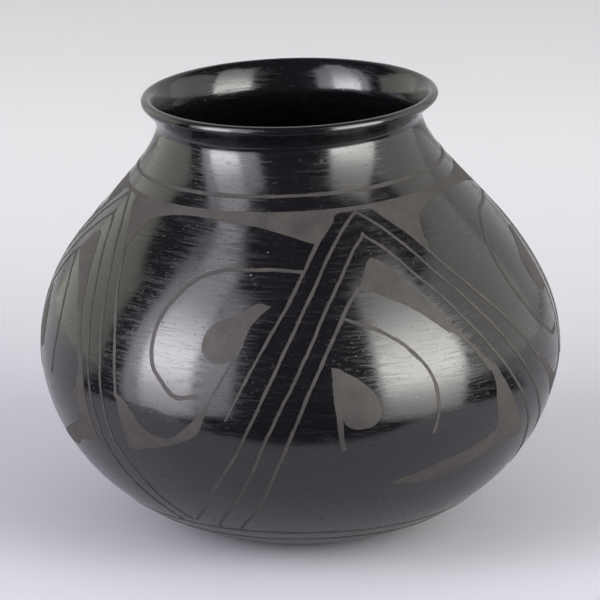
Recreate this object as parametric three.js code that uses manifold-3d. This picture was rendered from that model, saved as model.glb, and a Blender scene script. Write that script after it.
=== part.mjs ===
/*
 * Burnished black clay pot (olla) with matte painted slip.
 *
 * Millimetres, +Z up, origin at the middle of the flat the pot rests on, front towards -Y.
 * The clay is laid up as its potter lays it up: a pressed base, coils joined by sloping
 * scarf faces, and a rolled lip. The slip strokes are thin closed slabs that follow the wall.
 * Every outline is drawn on an upright pot first, then settle() gives it its handmade lean.
 */
import * as THREE from 'three';
import { mergeVertices } from 'three/addons/utils/BufferGeometryUtils.js';
import Module from 'manifold-3d';

const wasm = await Module();
wasm.setup();

// ---------------------------------------------------------------- driving dimensions
// clay body
const baseRadius = 38;
const baseThickness = 6;
const bellyRadius = 115;
const bellyHeight = 81.5;
const bellyWall = 5;
const waistRadius = 58.2;
const waistHeight = 183;
const neckWall = 3.2;
const lipReach = 4.8;
const lipRise = 10.6;
const lipBeadRadius = 2.2;
const beadStart = -45;
const beadEnd = 125;

// joints between the laid-up clay pieces
const slurryGap = 0.3;
const scarfRise = 4;
const jointShares = [0.09, 0.3, 0.53, 0.75, 0.95];

// handmade lean: the neck sits to the left and its right side is higher
const leanShift = 4.7;
const waistTilt = 0.047;
const lipTilt = 0.03;
const leanStart = 92;

// painted slip
const slipGap = 0.3;
const slipThickness = 0.4;
const brushFine = 1.6;
const brushBold = 2;
const paintGap = 0.9;
const bandTop = 160.6;
const bandBottom = 158.8;
const neckRingHeight = 166.2;
const footRingHeights = [19, 13.5];
const innerApex = 151;
const wedgeLineTop = 130.5;
const edgeLineLeftTop = 146.5;
const edgeLineLeftFoot = 79.3;
const edgeLineRightTop = 137.8;
const edgeLineRightFoot = 85;
const lineFootHeight = 27;
const paintedHeight = 183;

// mesh steps
const turnSteps = 36;
const wallStep = 18;
const outlineStep = 18;
const beadSteps = 5;
const flareSteps = 3;
const trumpetSteps = 4;
const mergeDistance = 1e-4;
const wallSearchSteps = 40;
const innerSearchSteps = 12;

// fullness of the two wall curves, as shares of their run and rise
const footRunShare = 0.857;
const footLiftShare = 0.205;
const bellyDropShare = 0.197;
const shoulderRiseShare = 0.483;
const neckRunShare = 0.109;
const neckDropShare = 0.263;

// pull of the lip's two curves: a share of the rise, then shares of that pull at each end
const flarePullShare = 0.38;
const flareEndPull = 0.7;
const trumpetEndPull = [0.8, 0.55];
const throatPull = 1.2;

// brush strokes thin out towards their ends
const thinEnd = 0.8;
const thinTail = 0.7;
const flatWallLimit = 0.25;
const apexDrop = 4;
const apexNotch = 1.25;

const blackClay = { color: 0x17161a, roughness: 0.16, metalness: 0 };
const matteSlip = { color: 0x58534e, roughness: 0.82, metalness: 0 };

// ---------------------------------------------------------------- small helpers
const clamp = (value, low, high) => Math.min(high, Math.max(low, value));
const mix = (from, to, share) => from + (to - from) * share;
const smooth = (value) => {
  const t = clamp(value, 0, 1);
  return t * t * (3 - 2 * t);
};

/** Smooth curve through [place, value] pairs whose places rise or fall steadily. */
function curveValue(pairs, place) {
  const list = pairs[0][0] < pairs[pairs.length - 1][0] ? pairs : [...pairs].reverse();
  const last = list.length - 1;
  const at = clamp(place, list[0][0], list[last][0]);
  let i = 0;
  while (i < last - 1 && at > list[i + 1][0]) i += 1;
  const slope = (a, b) => (list[b][1] - list[a][1]) / (list[b][0] - list[a][0]);
  const gap = list[i + 1][0] - list[i][0];
  const t = (at - list[i][0]) / gap;
  const startSlope = slope(Math.max(i - 1, 0), i + 1) * gap;
  const endSlope = slope(i, Math.min(i + 2, last)) * gap;
  const t2 = t * t;
  const t3 = t2 * t;
  return (2 * t3 - 3 * t2 + 1) * list[i][1] + (t3 - 2 * t2 + t) * startSlope
    + (3 * t2 - 2 * t3) * list[i + 1][1] + (t3 - t2) * endSlope;
}

// ---------------------------------------------------------------- the wall's section
const shoulderRise = waistHeight - bellyHeight;
const lowerWall = new THREE.CubicBezierCurve(
  new THREE.Vector2(baseRadius, 0),
  new THREE.Vector2(mix(baseRadius, bellyRadius, footRunShare), footLiftShare * bellyHeight),
  new THREE.Vector2(bellyRadius, (1 - bellyDropShare) * bellyHeight),
  new THREE.Vector2(bellyRadius, bellyHeight),
);
const upperWall = new THREE.CubicBezierCurve(
  new THREE.Vector2(bellyRadius, bellyHeight),
  new THREE.Vector2(bellyRadius, bellyHeight + shoulderRiseShare * shoulderRise),
  new THREE.Vector2(
    mix(waistRadius, bellyRadius, neckRunShare),
    waistHeight - neckDropShare * shoulderRise,
  ),
  new THREE.Vector2(waistRadius, waistHeight),
);

/** Point and outward normal of the outer wall at a height. */
function wallAt(height) {
  const curve = height < bellyHeight ? lowerWall : upperWall;
  let low = 0;
  let high = 1;
  for (let i = 0; i < wallSearchSteps; i += 1) {
    const middle = (low + high) / 2;
    if (curve.getPoint(middle).y < height) low = middle;
    else high = middle;
  }
  const tangent = curve.getTangent((low + high) / 2);
  const point = curve.getPoint((low + high) / 2);
  return { point, normal: new THREE.Vector2(tangent.y, -tangent.x) };
}
const wallRadius = (height) => wallAt(height).point.x;
const wallThickness = (height) => (
  mix(bellyWall, neckWall, smooth((height - bellyHeight) / shoulderRise))
);

/** The outer wall's point at a height, moved along its normal (negative is into the clay). */
function offsetWall(height, distance) {
  const { point, normal } = wallAt(height);
  return point.clone().addScaledVector(normal, distance);
}

/** Inner wall point level with a height. */
function innerWall(height) {
  let at = height;
  for (let i = 0; i < innerSearchSteps; i += 1) {
    const y = offsetWall(at, -wallThickness(at)).y;
    at = clamp(at + height - y, 0, waistHeight);
  }
  return offsetWall(at, -wallThickness(at));
}

/** Longest step up the wall: shorter at the foot and from the shoulder up, where it bends most. */
const stepAt = (height) => {
  const bends = height < bellyHeight / 2 || height > bellyHeight + shoulderRise / 2;
  return bends ? wallStep / 2 : wallStep;
};

/** Heights from low to high in even steps. */
function steps(low, high, longest = stepAt(low)) {
  const count = Math.max(1, Math.ceil((high - low) / longest));
  return Array.from({ length: count + 1 }, (_, i) => mix(low, high, i / count));
}

// Heights where the slip starts or stops. The clay has a ring of corners at each, so both bend
// at the same places and stay the slip gap apart.
const paintScale = waistHeight / paintedHeight;
const ringMiddles = [neckRingHeight, ...footRingHeights].map((height) => height * paintScale);
const slipMarks = [
  bandTop * paintScale,
  ...ringMiddles.flatMap((height) => [height - brushFine / 2, height + brushFine / 2]),
];

/** Heights up the outer wall from low to high, with every slip mark between them. */
function wallHeights(low, high) {
  const between = slipMarks.filter((mark) => mark > low && mark < high);
  const stops = [low, ...between.sort((a, b) => a - b), high];
  return stops.slice(1).flatMap((stop, i) => steps(stops[i], stop).slice(i ? 1 : 0));
}

// ---------------------------------------------------------------- from outline to solid
/** Gives an upright point of the pot its handmade lean. */
function settle(point) {
  const share = smooth((point.z - leanStart) / (waistHeight - leanStart));
  const lipShare = clamp((point.z - waistHeight) / lipRise, 0, 1);
  const tilt = share * mix(waistTilt, lipTilt, lipShare);
  return new THREE.Vector3(point.x - leanShift * share, point.y, point.z + point.x * tilt);
}

/** The geometry with only positions, its matching vertices merged. */
function mergedGeometry(geometry) {
  const bare = geometry.clone();
  bare.deleteAttribute('normal');
  bare.deleteAttribute('uv');
  return mergeVertices(bare, mergeDistance);
}

/** The merged geometry with each vertex moved by settle. */
function settledGeometry(geometry) {
  const merged = mergedGeometry(geometry);
  const position = merged.getAttribute('position');
  const point = new THREE.Vector3();
  for (let i = 0; i < position.count; i += 1) {
    point.fromBufferAttribute(position, i);
    const moved = settle(point);
    position.setXYZ(i, moved.x, moved.y, moved.z);
  }
  merged.computeVertexNormals();
  return merged;
}

/** Turns a section of (radius, height) points into an upright ring or bowl. */
function turned(section) {
  const geometry = new THREE.LatheGeometry(section, turnSteps);
  geometry.rotateX(Math.PI / 2);
  return geometry;
}

const pot = new THREE.Group();

function addNode(name, geometry, finish) {
  const mesh = new THREE.Mesh(geometry, new THREE.MeshStandardMaterial(finish));
  mesh.name = name;
  pot.add(mesh);
}

// ---------------------------------------------------------------- clay pieces
const joints = jointShares.map((share) => share * waistHeight);
const outerRun = (low, high) => wallHeights(low, high).map((height) => offsetWall(height, 0));
const innerRun = (low, high) => steps(low, high, wallStep).map(innerWall);

/** Closed section of a coil between two joint heights, with scarf faces at both ends. */
function coilSection(lowJoint, highJoint) {
  const outer = outerRun(lowJoint + slurryGap / 2, highJoint - slurryGap / 2);
  const inner = innerRun(
    lowJoint + scarfRise + slurryGap / 2,
    highJoint + scarfRise - slurryGap / 2,
  );
  return [...outer, ...inner.reverse(), outer[0].clone()];
}

/** The pressed base: a flat disc whose edge turns up to the first joint. */
function baseSection() {
  const outer = outerRun(0, joints[0] - slurryGap / 2);
  const inner = steps(baseThickness, joints[0] + scarfRise - slurryGap / 2, wallStep / 2)
    .map(innerWall);
  return [
    new THREE.Vector2(0, 0),
    ...outer,
    ...inner.reverse(),
    new THREE.Vector2(0, baseThickness),
  ];
}

/** The rolled lip: flare under the rim, round bead, and the trumpet of the mouth. */
function lipSection() {
  const start = joints[joints.length - 1];
  const bead = new THREE.Vector2(waistRadius + lipReach, waistHeight + lipRise);
  const onBead = (degrees) => {
    const angle = THREE.MathUtils.degToRad(degrees);
    return new THREE.Vector2(
      bead.x + lipBeadRadius * Math.cos(angle),
      bead.y + lipBeadRadius * Math.sin(angle),
    );
  };
  const under = onBead(beadStart);
  const inside = onBead(beadEnd);
  const throat = innerWall(waistHeight - neckWall / 2);
  const pull = flarePullShare * lipRise;
  const flare = new THREE.CubicBezierCurve(
    new THREE.Vector2(waistRadius, waistHeight),
    new THREE.Vector2(waistRadius, waistHeight + pull),
    new THREE.Vector2(under.x - flareEndPull * pull, under.y - flareEndPull * pull),
    under,
  );
  const trumpet = new THREE.CubicBezierCurve(
    inside,
    new THREE.Vector2(inside.x - trumpetEndPull[0] * pull, inside.y - trumpetEndPull[1] * pull),
    new THREE.Vector2(throat.x, throat.y + throatPull * pull),
    throat,
  );
  const beadArc = Array.from({ length: beadSteps }, (_, i) => (
    onBead(mix(beadStart, beadEnd, (i + 1) / beadSteps))
  ));
  const outer = outerRun(start + slurryGap / 2, waistHeight);
  const inner = innerRun(start + scarfRise + slurryGap / 2, throat.y).reverse();
  return [
    ...outer,
    ...flare.getPoints(flareSteps).slice(1),
    ...beadArc,
    ...trumpet.getPoints(trumpetSteps).slice(1),
    ...inner.slice(1),
    outer[0].clone(),
  ];
}

const coilNames = ['belly_coil_lower', 'belly_coil_upper', 'shoulder_coil', 'neck_coil'];
addNode('base_tortilla', settledGeometry(turned(baseSection())), blackClay);
coilNames.forEach((name, i) => {
  addNode(name, settledGeometry(turned(coilSection(joints[i], joints[i + 1]))), blackClay);
});
addNode('rolled_lip', settledGeometry(turned(lipSection())), blackClay);

// ---------------------------------------------------------------- slip: rings
/** Closed section of slip that lies on the wall at rising heights. */
function slipSection(heights) {
  const inner = heights.map((height) => offsetWall(height, slipGap));
  const outer = heights.map((height) => offsetWall(height, slipGap + slipThickness));
  return [...outer, ...inner.reverse(), outer[0].clone()];
}

const ringNames = ['slip_neck_ring', 'slip_foot_ring_upper', 'slip_foot_ring_lower'];
ringNames.forEach((name, i) => {
  const section = slipSection([ringMiddles[i] - brushFine / 2, ringMiddles[i] + brushFine / 2]);
  addNode(name, settledGeometry(turned(section)), matteSlip);
});

// ---------------------------------------------------------------- slip: cut shapes
/** Solid from a flat list of coordinates and a flat list of triangle corners. */
function solidFrom(coordinates, triangles) {
  return new wasm.Manifold(new wasm.Mesh({
    numProp: 3,
    vertProperties: new Float32Array(coordinates),
    triVerts: new Uint32Array(triangles),
  }));
}

/** Solid from a closed geometry. */
function toSolid(geometry) {
  const merged = mergedGeometry(geometry);
  return solidFrom(merged.getAttribute('position').array, merged.getIndex().array);
}

function fromSolid(solid) {
  const mesh = solid.getMesh();
  const geometry = new THREE.BufferGeometry();
  geometry.setAttribute('position', new THREE.BufferAttribute(mesh.vertProperties, 3));
  geometry.setIndex(new THREE.BufferAttribute(mesh.triVerts, 1));
  return geometry;
}

/** The slip layer over the painted wall, its rings level with the clay's own rings. */
function slipLayer() {
  const marks = [...joints.slice(0, -1), bandTop * paintScale];
  const heights = marks.slice(1).flatMap((high, i) => wallHeights(marks[i], high).slice(i ? 1 : 0));
  return toSolid(turned(slipSection(heights)));
}
const layer = slipLayer();

/** A point on a cylinder about the pot's axis; degrees run from the front to the right. */
function around(degrees, height, radius) {
  const angle = THREE.MathUtils.degToRad(degrees);
  return [radius * Math.sin(angle), -radius * Math.cos(angle), height];
}
const cutterInside = 0.2 * bellyRadius;
const cutterOutside = 2.4 * bellyRadius;
const cutterMargin = 4;

/** Radii of a cutter's corners at a height: well inside, either side of the wall, well outside. */
function cutterRadii(height) {
  const wall = wallRadius(height);
  return [cutterInside, wall - cutterMargin, wall + cutterMargin, cutterOutside];
}

/** Solid from corner rings, each a list of points, joined to the next ring point by point. */
function joinedRings(rings, capFaces) {
  const count = rings[0].length;
  const lastRing = (rings.length - 1) * count;
  const triangles = capFaces.flatMap(([a, b, c]) => [
    a + lastRing, b + lastRing, c + lastRing, a, c, b,
  ]);
  rings.slice(1).forEach((ring, level) => {
    for (let i = 0; i < count; i += 1) {
      const a = level * count + i;
      const b = level * count + ((i + 1) % count);
      triangles.push(a, b, b + count, a, b + count, a + count);
    }
  });
  return solidFrom(rings.flat(2), triangles);
}

/** Prism that widens from the axis outwards, over an outline of [degrees, height] points. */
function wedgeCutter(outline) {
  const scaled = outline.map(([degrees, height]) => [degrees, height * paintScale]);
  const flat = scaled.map(([degrees, height]) => new THREE.Vector2(degrees, height));
  const clockwise = THREE.ShapeUtils.isClockWise(flat);
  const points = clockwise ? [...scaled].reverse() : scaled;
  const contour = clockwise ? [...flat].reverse() : flat;
  const rings = [0, 1, 2, 3].map((level) => points.map(([degrees, height]) => (
    around(degrees, height, cutterRadii(height)[level])
  )));
  return joinedRings(rings, THREE.ShapeUtils.triangulateShape(contour, []));
}

function addSlip(name, cutter) {
  addNode(name, settledGeometry(fromSolid(layer.intersect(cutter))), matteSlip);
}

/** Closed outline of a brush stroke of a width in millimetres along [degrees, height] points. */
function strokeOutline(points, width, startShare = 1, endShare = 1) {
  const line = new THREE.SplineCurve(points.map(([x, y]) => new THREE.Vector2(x, y)));
  const scale = (at) => {
    const { normal } = wallAt(at.y * paintScale);
    const perDegree = THREE.MathUtils.degToRad(wallRadius(at.y * paintScale));
    return { perDegree, perHeight: 1 / Math.max(flatWallLimit, normal.x) };
  };
  let length = 0;
  for (let i = 1; i < points.length; i += 1) {
    const { perDegree, perHeight } = scale(new THREE.Vector2(...points[i]));
    length += Math.hypot(
      (points[i][0] - points[i - 1][0]) * perDegree,
      (points[i][1] - points[i - 1][1]) * perHeight,
    );
  }
  const count = Math.max(2, Math.ceil(length / outlineStep));
  const left = [];
  const right = [];
  for (let i = 0; i <= count; i += 1) {
    const share = i / count;
    const at = line.getPoint(share);
    const along = line.getTangent(share);
    const { perDegree, perHeight } = scale(at);
    const run = new THREE.Vector2(along.x * perDegree, along.y * perHeight).normalize();
    const half = (width / 2) * mix(startShare, endShare, share);
    const side = [(-run.y * half) / perDegree, (run.x * half) / perHeight];
    left.push([at.x + side[0], at.y + side[1]]);
    right.push([at.x - side[0], at.y - side[1]]);
  }
  return [...left, ...right.reverse()];
}

// ---------------------------------------------------------------- slip: the repeated design
// Each repeat has a peak under the shoulder band. Four lines fall from it on either side.
// Pairs are [height, degrees from the peak].
const edgeLine = [
  [bandBottom, 6.6], [152, 12], [148, 15], [139.8, 19], [126, 24.5], [112, 29.5], [94, 34.5],
  [79.3, 38], [62, 43],
];
const outerLine = [
  [158.5, 0.5], [151.6, 7], [144, 12], [133.3, 17], [120, 22], [102.5, 27], [80.7, 32],
  [62, 36.5], [45, 42.5], [29.5, 49], [20.5, 55.5],
];
const innerLine = [
  [150, 0], [145.3, 4.5], [136.5, 9.5], [126, 14.5], [110.8, 19.5], [92, 24.5], [70.5, 29.5],
  [52, 33.5], [37, 38.5], [20.7, 47],
];
const wedgeLine = [
  [142, 0.6], [132.5, 5.5], [125.7, 9.5], [112.8, 14.5], [95, 19.5], [70, 24.5], [53, 28],
  [34, 33], [20.5, 40],
];

// The repeats are spaced by eye, so each has its own place, spread and lift.
const repeats = [
  { tag: 'front', peak: 22, spreadLeft: 0, spreadRight: 0.33, panelLift: 7, chevronLift: 0 },
  { tag: 'right', peak: 116, spreadLeft: -0.3, spreadRight: -0.3, panelLift: 4, chevronLift: 3 },
  { tag: 'back', peak: 201, spreadLeft: -0.3, spreadRight: -0.3, panelLift: 3, chevronLift: 5 },
  { tag: 'left', peak: 286, spreadLeft: -0.3, spreadRight: -0.25, panelLift: 0, chevronLift: 9 },
];
const spreadTop = 135;
const spreadRun = 75;
const gussetRightHeights = [bandBottom, 154, 149, 144, 140.6];
const gussetLeftHeights = [152, 155.5, bandBottom];
const meetingShare = 3.2;
const meetingTop = 0.9;

/** Degrees around the pot of a point so many degrees to a side of a peak. */
function armDegrees(repeat, side, offset, height) {
  const spread = side < 0 ? repeat.spreadLeft : repeat.spreadRight;
  return repeat.peak + side * offset * (1 + spread * clamp((spreadTop - height) / spreadRun, 0, 1));
}
const lineDegrees = (repeat, side, line, height) => (
  armDegrees(repeat, side, curveValue(line, height), height)
);
/** Half a fine line and the clear strip beside it, in degrees at a height. */
const clearDegrees = (height) => (
  THREE.MathUtils.radToDeg((brushFine / 2 + paintGap) / wallRadius(height * paintScale))
);

/** Point a share of the way across the polished panel between two repeats. */
function panelPoint(left, right, share, height) {
  const low = lineDegrees(left, 1, edgeLine, height) + clearDegrees(height);
  const high = lineDegrees(right, -1, edgeLine, height) - clearDegrees(height);
  return [mix(low, high, share), height];
}

/** Point a share of the way across the polished inside of a repeat's chevron. */
function chevronPoint(repeat, share, height) {
  const low = lineDegrees(repeat, -1, wedgeLine, height) + clearDegrees(height);
  const high = lineDegrees(repeat, 1, wedgeLine, height) - clearDegrees(height);
  return [mix(low, high, share), height];
}

const panelTop = [
  [0, 140.5], [0.03, 143], [0.065, 147], [0.14, 152], [0.21, 155], [0.32, 157], [0.45, 157.5],
  [0.58, 156.5], [0.71, 154.9], [0.865, 151.5], [1, 148.4],
];
const panelHook = [
  [0.97, 139.2], [0.88, 139.8], [0.75, 139.8], [0.605, 139], [0.48, 134.3], [0.367, 124],
  [0.305, 112], [0.32, 100], [0.426, 92], [0.52, 87.6], [0.6, 87.2], [0.7, 88.7],
];
const panelDrop = [
  [0.92, 126.6], [0.877, 121], [0.87, 115], [0.878, 109], [0.855, 98], [0.82, 86],
  [0.8, 86], [0.835, 98], [0.85, 104.3], [0.76, 103.2], [0.68, 105.5], [0.629, 110.5],
  [0.649, 117.5], [0.735, 121.8], [0.806, 125.2], [0.85, 127.4],
];
const panelFin = [
  [0, 83.5], [0.06, 82], [0.13, 78.5], [0.2, 73.5], [0.32, 69], [0.48, 67.5], [0.6, 69],
  [0.7, 74.5], [0.76, 79], [0.81, 84], [0.83, 84], [0.82, 78], [0.81, 71], [0.6, 65],
  [0.3, 61], [0, 57.5],
];
const chevronArc = [
  [0.04, 121.2], [0.187, 119], [0.32, 117], [0.438, 113.8], [0.53, 110], [0.588, 105.5],
  [0.633, 100], [0.648, 93.5], [0.641, 86], [0.618, 78], [0.585, 70.5],
];
const chevronDrop = [
  [0.06, 102.8], [0.107, 102.4], [0.157, 100.5], [0.23, 97.5], [0.283, 94.5], [0.328, 91],
  [0.357, 85], [0.35, 80], [0.315, 76.6], [0.264, 75.8], [0.215, 77.5], [0.19, 80.5],
  [0.205, 74], [0.232, 66], [0.212, 66], [0.18, 75], [0.15, 84], [0.112, 93],
];
const chevronFin = [
  [1.03, 89], [0.99, 84], [0.955, 78.5], [0.93, 70], [0.9, 63.6], [0.75, 58.9], [0.61, 54.7],
  [0.5, 51], [0.43, 48.6], [0.43, 47], [0.53, 46], [0.674, 47.6], [0.755, 51.2], [0.85, 54],
  [0.95, 55.2], [1.069, 56.2], [1.07, 62], [1.07, 77], [1.055, 89],
];
const wedge = [
  [0, 142.2], [3, 139.8], [7.9, 131], [12.2, 120.5], [16.1, 108], [21, 92.5], [18.9, 92.5],
  [16.7, 103.5], [14.4, 110], [12.5, 112], [9.7, 117.3], [5.2, 123.6], [-2, 130], [-5.5, 132],
  [-2, 139.8],
];

/** Height where a falling line stops: at the foot, or clear of the next repeat's line. */
function lineFoot(repeat, side, line, neighbour) {
  const reach = meetingShare * clearDegrees(lineFootHeight);
  const heights = steps(lineFootHeight, meetingTop * bellyHeight / paintScale, 1);
  const meets = (height) => {
    const own = lineDegrees(repeat, side, line, height);
    const other = lineDegrees(neighbour, -side, outerLine, height);
    return side * (other - own) < reach;
  };
  const clear = heights.filter((height) => !meets(height));
  return clear.length ? clear[0] : heights[heights.length - 1];
}

/** Points down one side of a line, from a height to a height. */
function arm(repeat, side, line, top, foot) {
  return steps(foot, top, outlineStep)
    .reverse()
    .map((height) => [lineDegrees(repeat, side, line, height), height]);
}

/** Outline of a bent line: down its left arm on both edges and down its right arm. */
function chevronOutline(repeat, line, apex, leftFoot, rightFoot) {
  const start = apex - apexDrop;
  const left = strokeOutline(arm(repeat, -1, line, start, leftFoot), brushFine, 1, thinEnd);
  const right = strokeOutline(arm(repeat, 1, line, start, rightFoot), brushFine, 1, thinEnd);
  const leftInner = left.slice(0, left.length / 2);
  const leftOuter = left.slice(left.length / 2);
  const rightOuter = right.slice(0, right.length / 2);
  const rightInner = right.slice(right.length / 2);
  return [
    ...leftOuter,
    [repeat.peak, apex],
    ...rightOuter,
    ...rightInner,
    [repeat.peak, apex - apexNotch * brushFine],
    ...leftInner,
  ];
}

const across = (points, place) => points.map(([share, height]) => place(share, height));

/** The repeat to the right of one, its peak counted on past a whole turn. */
function repeatAfter(i) {
  const next = repeats[(i + 1) % repeats.length];
  return { ...next, peak: next.peak + (next.peak < repeats[i].peak ? 360 : 0) };
}

/** The repeat to the left of one, its peak counted back past a whole turn. */
function repeatBefore(i) {
  const before = repeats[(i + repeats.length - 1) % repeats.length];
  return { ...before, peak: before.peak - (before.peak > repeats[i].peak ? 360 : 0) };
}

repeats.forEach((repeat, i) => {
  const following = repeatAfter(i);
  const preceding = repeatBefore(i);
  const feet = (line) => [
    lineFoot(repeat, -1, line, preceding),
    lineFoot(repeat, 1, line, following),
  ];
  const name = (piece) => `slip_${piece}_${repeat.tag}`;
  const inPanel = (points) => across(points, (share, height) => (
    panelPoint(repeat, following, share, height + repeat.panelLift)
  ));
  const inChevron = (points) => across(points, (share, height) => (
    chevronPoint(repeat, share, height + repeat.chevronLift)
  ));

  const outerApex = bandBottom - paintGap;
  addSlip(name('chevron_outer'), wedgeCutter(
    chevronOutline(repeat, outerLine, outerApex, ...feet(outerLine)),
  ));
  addSlip(name('chevron_inner'), wedgeCutter(
    chevronOutline(repeat, innerLine, innerApex, ...feet(innerLine)),
  ));
  addSlip(name('wedge_line'), wedgeCutter(strokeOutline(
    arm(repeat, -1, wedgeLine, wedgeLineTop, lineFootHeight), brushFine, 1, thinEnd,
  )));
  addSlip(name('edge_line_left'), wedgeCutter(strokeOutline(
    arm(repeat, -1, edgeLine, edgeLineLeftTop, edgeLineLeftFoot), brushFine, 1, thinTail,
  )));
  const rightFoot = edgeLineRightFoot + repeat.panelLift;
  addSlip(name('edge_line_right'), wedgeCutter(strokeOutline(
    arm(repeat, 1, edgeLine, edgeLineRightTop, rightFoot), brushFine,
  )));
  addSlip(name('wedge'), wedgeCutter(wedge.map(([offset, height]) => [
    armDegrees(repeat, Math.sign(offset), Math.abs(offset), height), height,
  ])));
  addSlip(name('panel_hook'), wedgeCutter(
    strokeOutline(inPanel(panelHook), brushBold, thinEnd, 1),
  ));
  addSlip(name('panel_drop'), wedgeCutter(inPanel(panelDrop)));
  addSlip(name('panel_fin'), wedgeCutter(inPanel(panelFin)));
  addSlip(name('chevron_arc'), wedgeCutter(
    strokeOutline(inChevron(chevronArc), brushBold, thinEnd, thinEnd),
  ));
  addSlip(name('chevron_drop'), wedgeCutter(inChevron(chevronDrop)));
  addSlip(name('chevron_fin'), wedgeCutter(across(chevronFin, (share, height) => (
    chevronPoint(repeat, share, height)
  ))));
});

/** The shoulder band's cutter: a ring whose lower edge dips into a gusset beside each peak. */
function bandCutter() {
  const lower = repeats.flatMap((repeat, i) => {
    const following = repeatAfter(i);
    const gussetRight = gussetRightHeights
      .map((height) => [lineDegrees(repeat, 1, edgeLine, height), height]);
    const gussetLeft = gussetLeftHeights
      .map((height) => [lineDegrees(following, -1, edgeLine, height), height]);
    const arch = across(panelTop, (share, height) => (
      panelPoint(repeat, following, share, height)
    ));
    return [...gussetRight, ...arch, ...gussetLeft];
  });
  const top = (bandTop + cutterMargin) * paintScale;
  const count = lower.length;
  const corners = lower.flatMap(([degrees, height]) => [
    around(degrees, height * paintScale, cutterInside),
    around(degrees, height * paintScale, cutterOutside),
    around(degrees, top, cutterOutside),
    around(degrees, top, cutterInside),
  ]);
  const triangles = [];
  for (let i = 0; i < count; i += 1) {
    const next = (i + 1) % count;
    for (let j = 0; j < 4; j += 1) {
      const k = (j + 1) % 4;
      triangles.push(4 * i + j, 4 * next + j, 4 * next + k);
      triangles.push(4 * i + j, 4 * next + k, 4 * i + k);
    }
  }
  return solidFrom(corners.flat(), triangles);
}
addSlip('slip_shoulder_band', bandCutter());

export default pot;
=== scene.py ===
"""Looks of a burnished black clay pot (olla) painted with matte slip.

The pot is hand coiled, polished with a stone while leather hard, painted with a thin slip that
stays matte, and fired black in a smothered fire. Lengths inside the classes are millimetres on
an upright pot, and degrees run round it from the front to the right. PotWall.place gives a
point the pot's handmade lean and turns it into metres in the frame.
"""

from __future__ import annotations

import logging
import math
from dataclasses import dataclass, field, replace
from enum import Enum

import bpy
import numpy as np
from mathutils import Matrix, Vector
from mathutils.geometry import delaunay_2d_cdt


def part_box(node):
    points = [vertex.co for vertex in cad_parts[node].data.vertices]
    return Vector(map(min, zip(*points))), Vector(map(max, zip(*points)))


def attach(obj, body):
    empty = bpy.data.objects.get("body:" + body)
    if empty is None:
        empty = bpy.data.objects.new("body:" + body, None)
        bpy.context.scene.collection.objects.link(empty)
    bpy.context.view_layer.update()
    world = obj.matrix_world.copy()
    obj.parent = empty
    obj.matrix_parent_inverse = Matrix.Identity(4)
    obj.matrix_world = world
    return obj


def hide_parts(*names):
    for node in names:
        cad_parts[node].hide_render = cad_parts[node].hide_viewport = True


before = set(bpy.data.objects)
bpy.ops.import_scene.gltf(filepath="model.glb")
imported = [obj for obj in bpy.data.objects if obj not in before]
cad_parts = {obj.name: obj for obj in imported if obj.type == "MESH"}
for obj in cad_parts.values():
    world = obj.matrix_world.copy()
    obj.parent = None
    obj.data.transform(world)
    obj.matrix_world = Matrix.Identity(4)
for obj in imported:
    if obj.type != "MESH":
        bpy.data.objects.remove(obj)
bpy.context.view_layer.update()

LOG = logging.getLogger("olla")
MM = 0.001
BODY = "root"

Pairs = tuple[tuple[float, float], ...]
Tree = bpy.types.NodeTree
Node = bpy.types.Node
Socket = bpy.types.NodeSocket


# ------------------------------------------------------------------------------ colour and nodes
def linear(hex_colour: str) -> tuple[float, float, float, float]:
    """Turn an sRGB hex colour into linear light.

    Args:
        hex_colour: Six hex digits with a leading #.

    Returns:
        Linear red, green, blue and an alpha of one.
    """
    parts = [int(hex_colour[i:i + 2], 16) / 255 for i in (1, 3, 5)]
    light = [c / 12.92 if c <= 0.04045 else ((c + 0.055) / 1.055) ** 2.4 for c in parts]
    return (*light, 1.0)


def add_node(
    tree: Tree,
    kind: str,
    settings: dict[str, object] | None = None,
    links: dict[str | int, Node | Socket] | None = None,
    values: dict[str | int, object] | None = None,
) -> Node:
    """Add a shader node with its settings, its unlinked values and its links.

    Args:
        tree: Node tree that takes the node.
        kind: Blender's name of the node type.
        settings: Attributes of the node itself.
        links: Input sockets, by name or place, and what each is joined to: an output, or a
            node for its first output.
        values: Input sockets, by name or place, and the value each holds.

    Returns:
        The new node.
    """
    node = tree.nodes.new(kind)
    for name, value in (settings or {}).items():
        setattr(node, name, value)
    for socket, value in (values or {}).items():
        node.inputs[socket].default_value = value
    for socket, source in (links or {}).items():
        if isinstance(source, Node):
            source = next(output for output in source.outputs if output.enabled)
        tree.links.new(source, node.inputs[socket])
    return node


def new_material(name: str) -> bpy.types.Material:
    """Make a material whose node tree is empty.

    Args:
        name: Material's name.

    Returns:
        The new material.
    """
    material = bpy.data.materials.new(name)
    material.use_nodes = True
    material.node_tree.nodes.clear()
    return material


@dataclass(frozen=True)
class Mottle:
    """Marks that vary like noise, with the size of one mark in millimetres.

    A mark is as long as length round the pot and as high as height up it.
    """

    length: float
    height: float
    octaves: float
    raggedness: float = 0.6

    def add(self, tree: Tree, where: Socket) -> Node:
        """Add the marks to a tree.

        Args:
            tree: Material's node tree.
            where: Place on the pot in metres.

        Returns:
            The node that gives a value from 0 to 1.
        """
        across = 1 / (self.length * MM)
        scaled = add_node(
            tree, "ShaderNodeMapping", links={"Vector": where},
            values={"Scale": (across, across, 1 / (self.height * MM))},
        )
        return add_node(
            tree, "ShaderNodeTexNoise", links={"Vector": scaled},
            values={"Scale": 1.0, "Detail": self.octaves, "Roughness": self.raggedness},
        )


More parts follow.
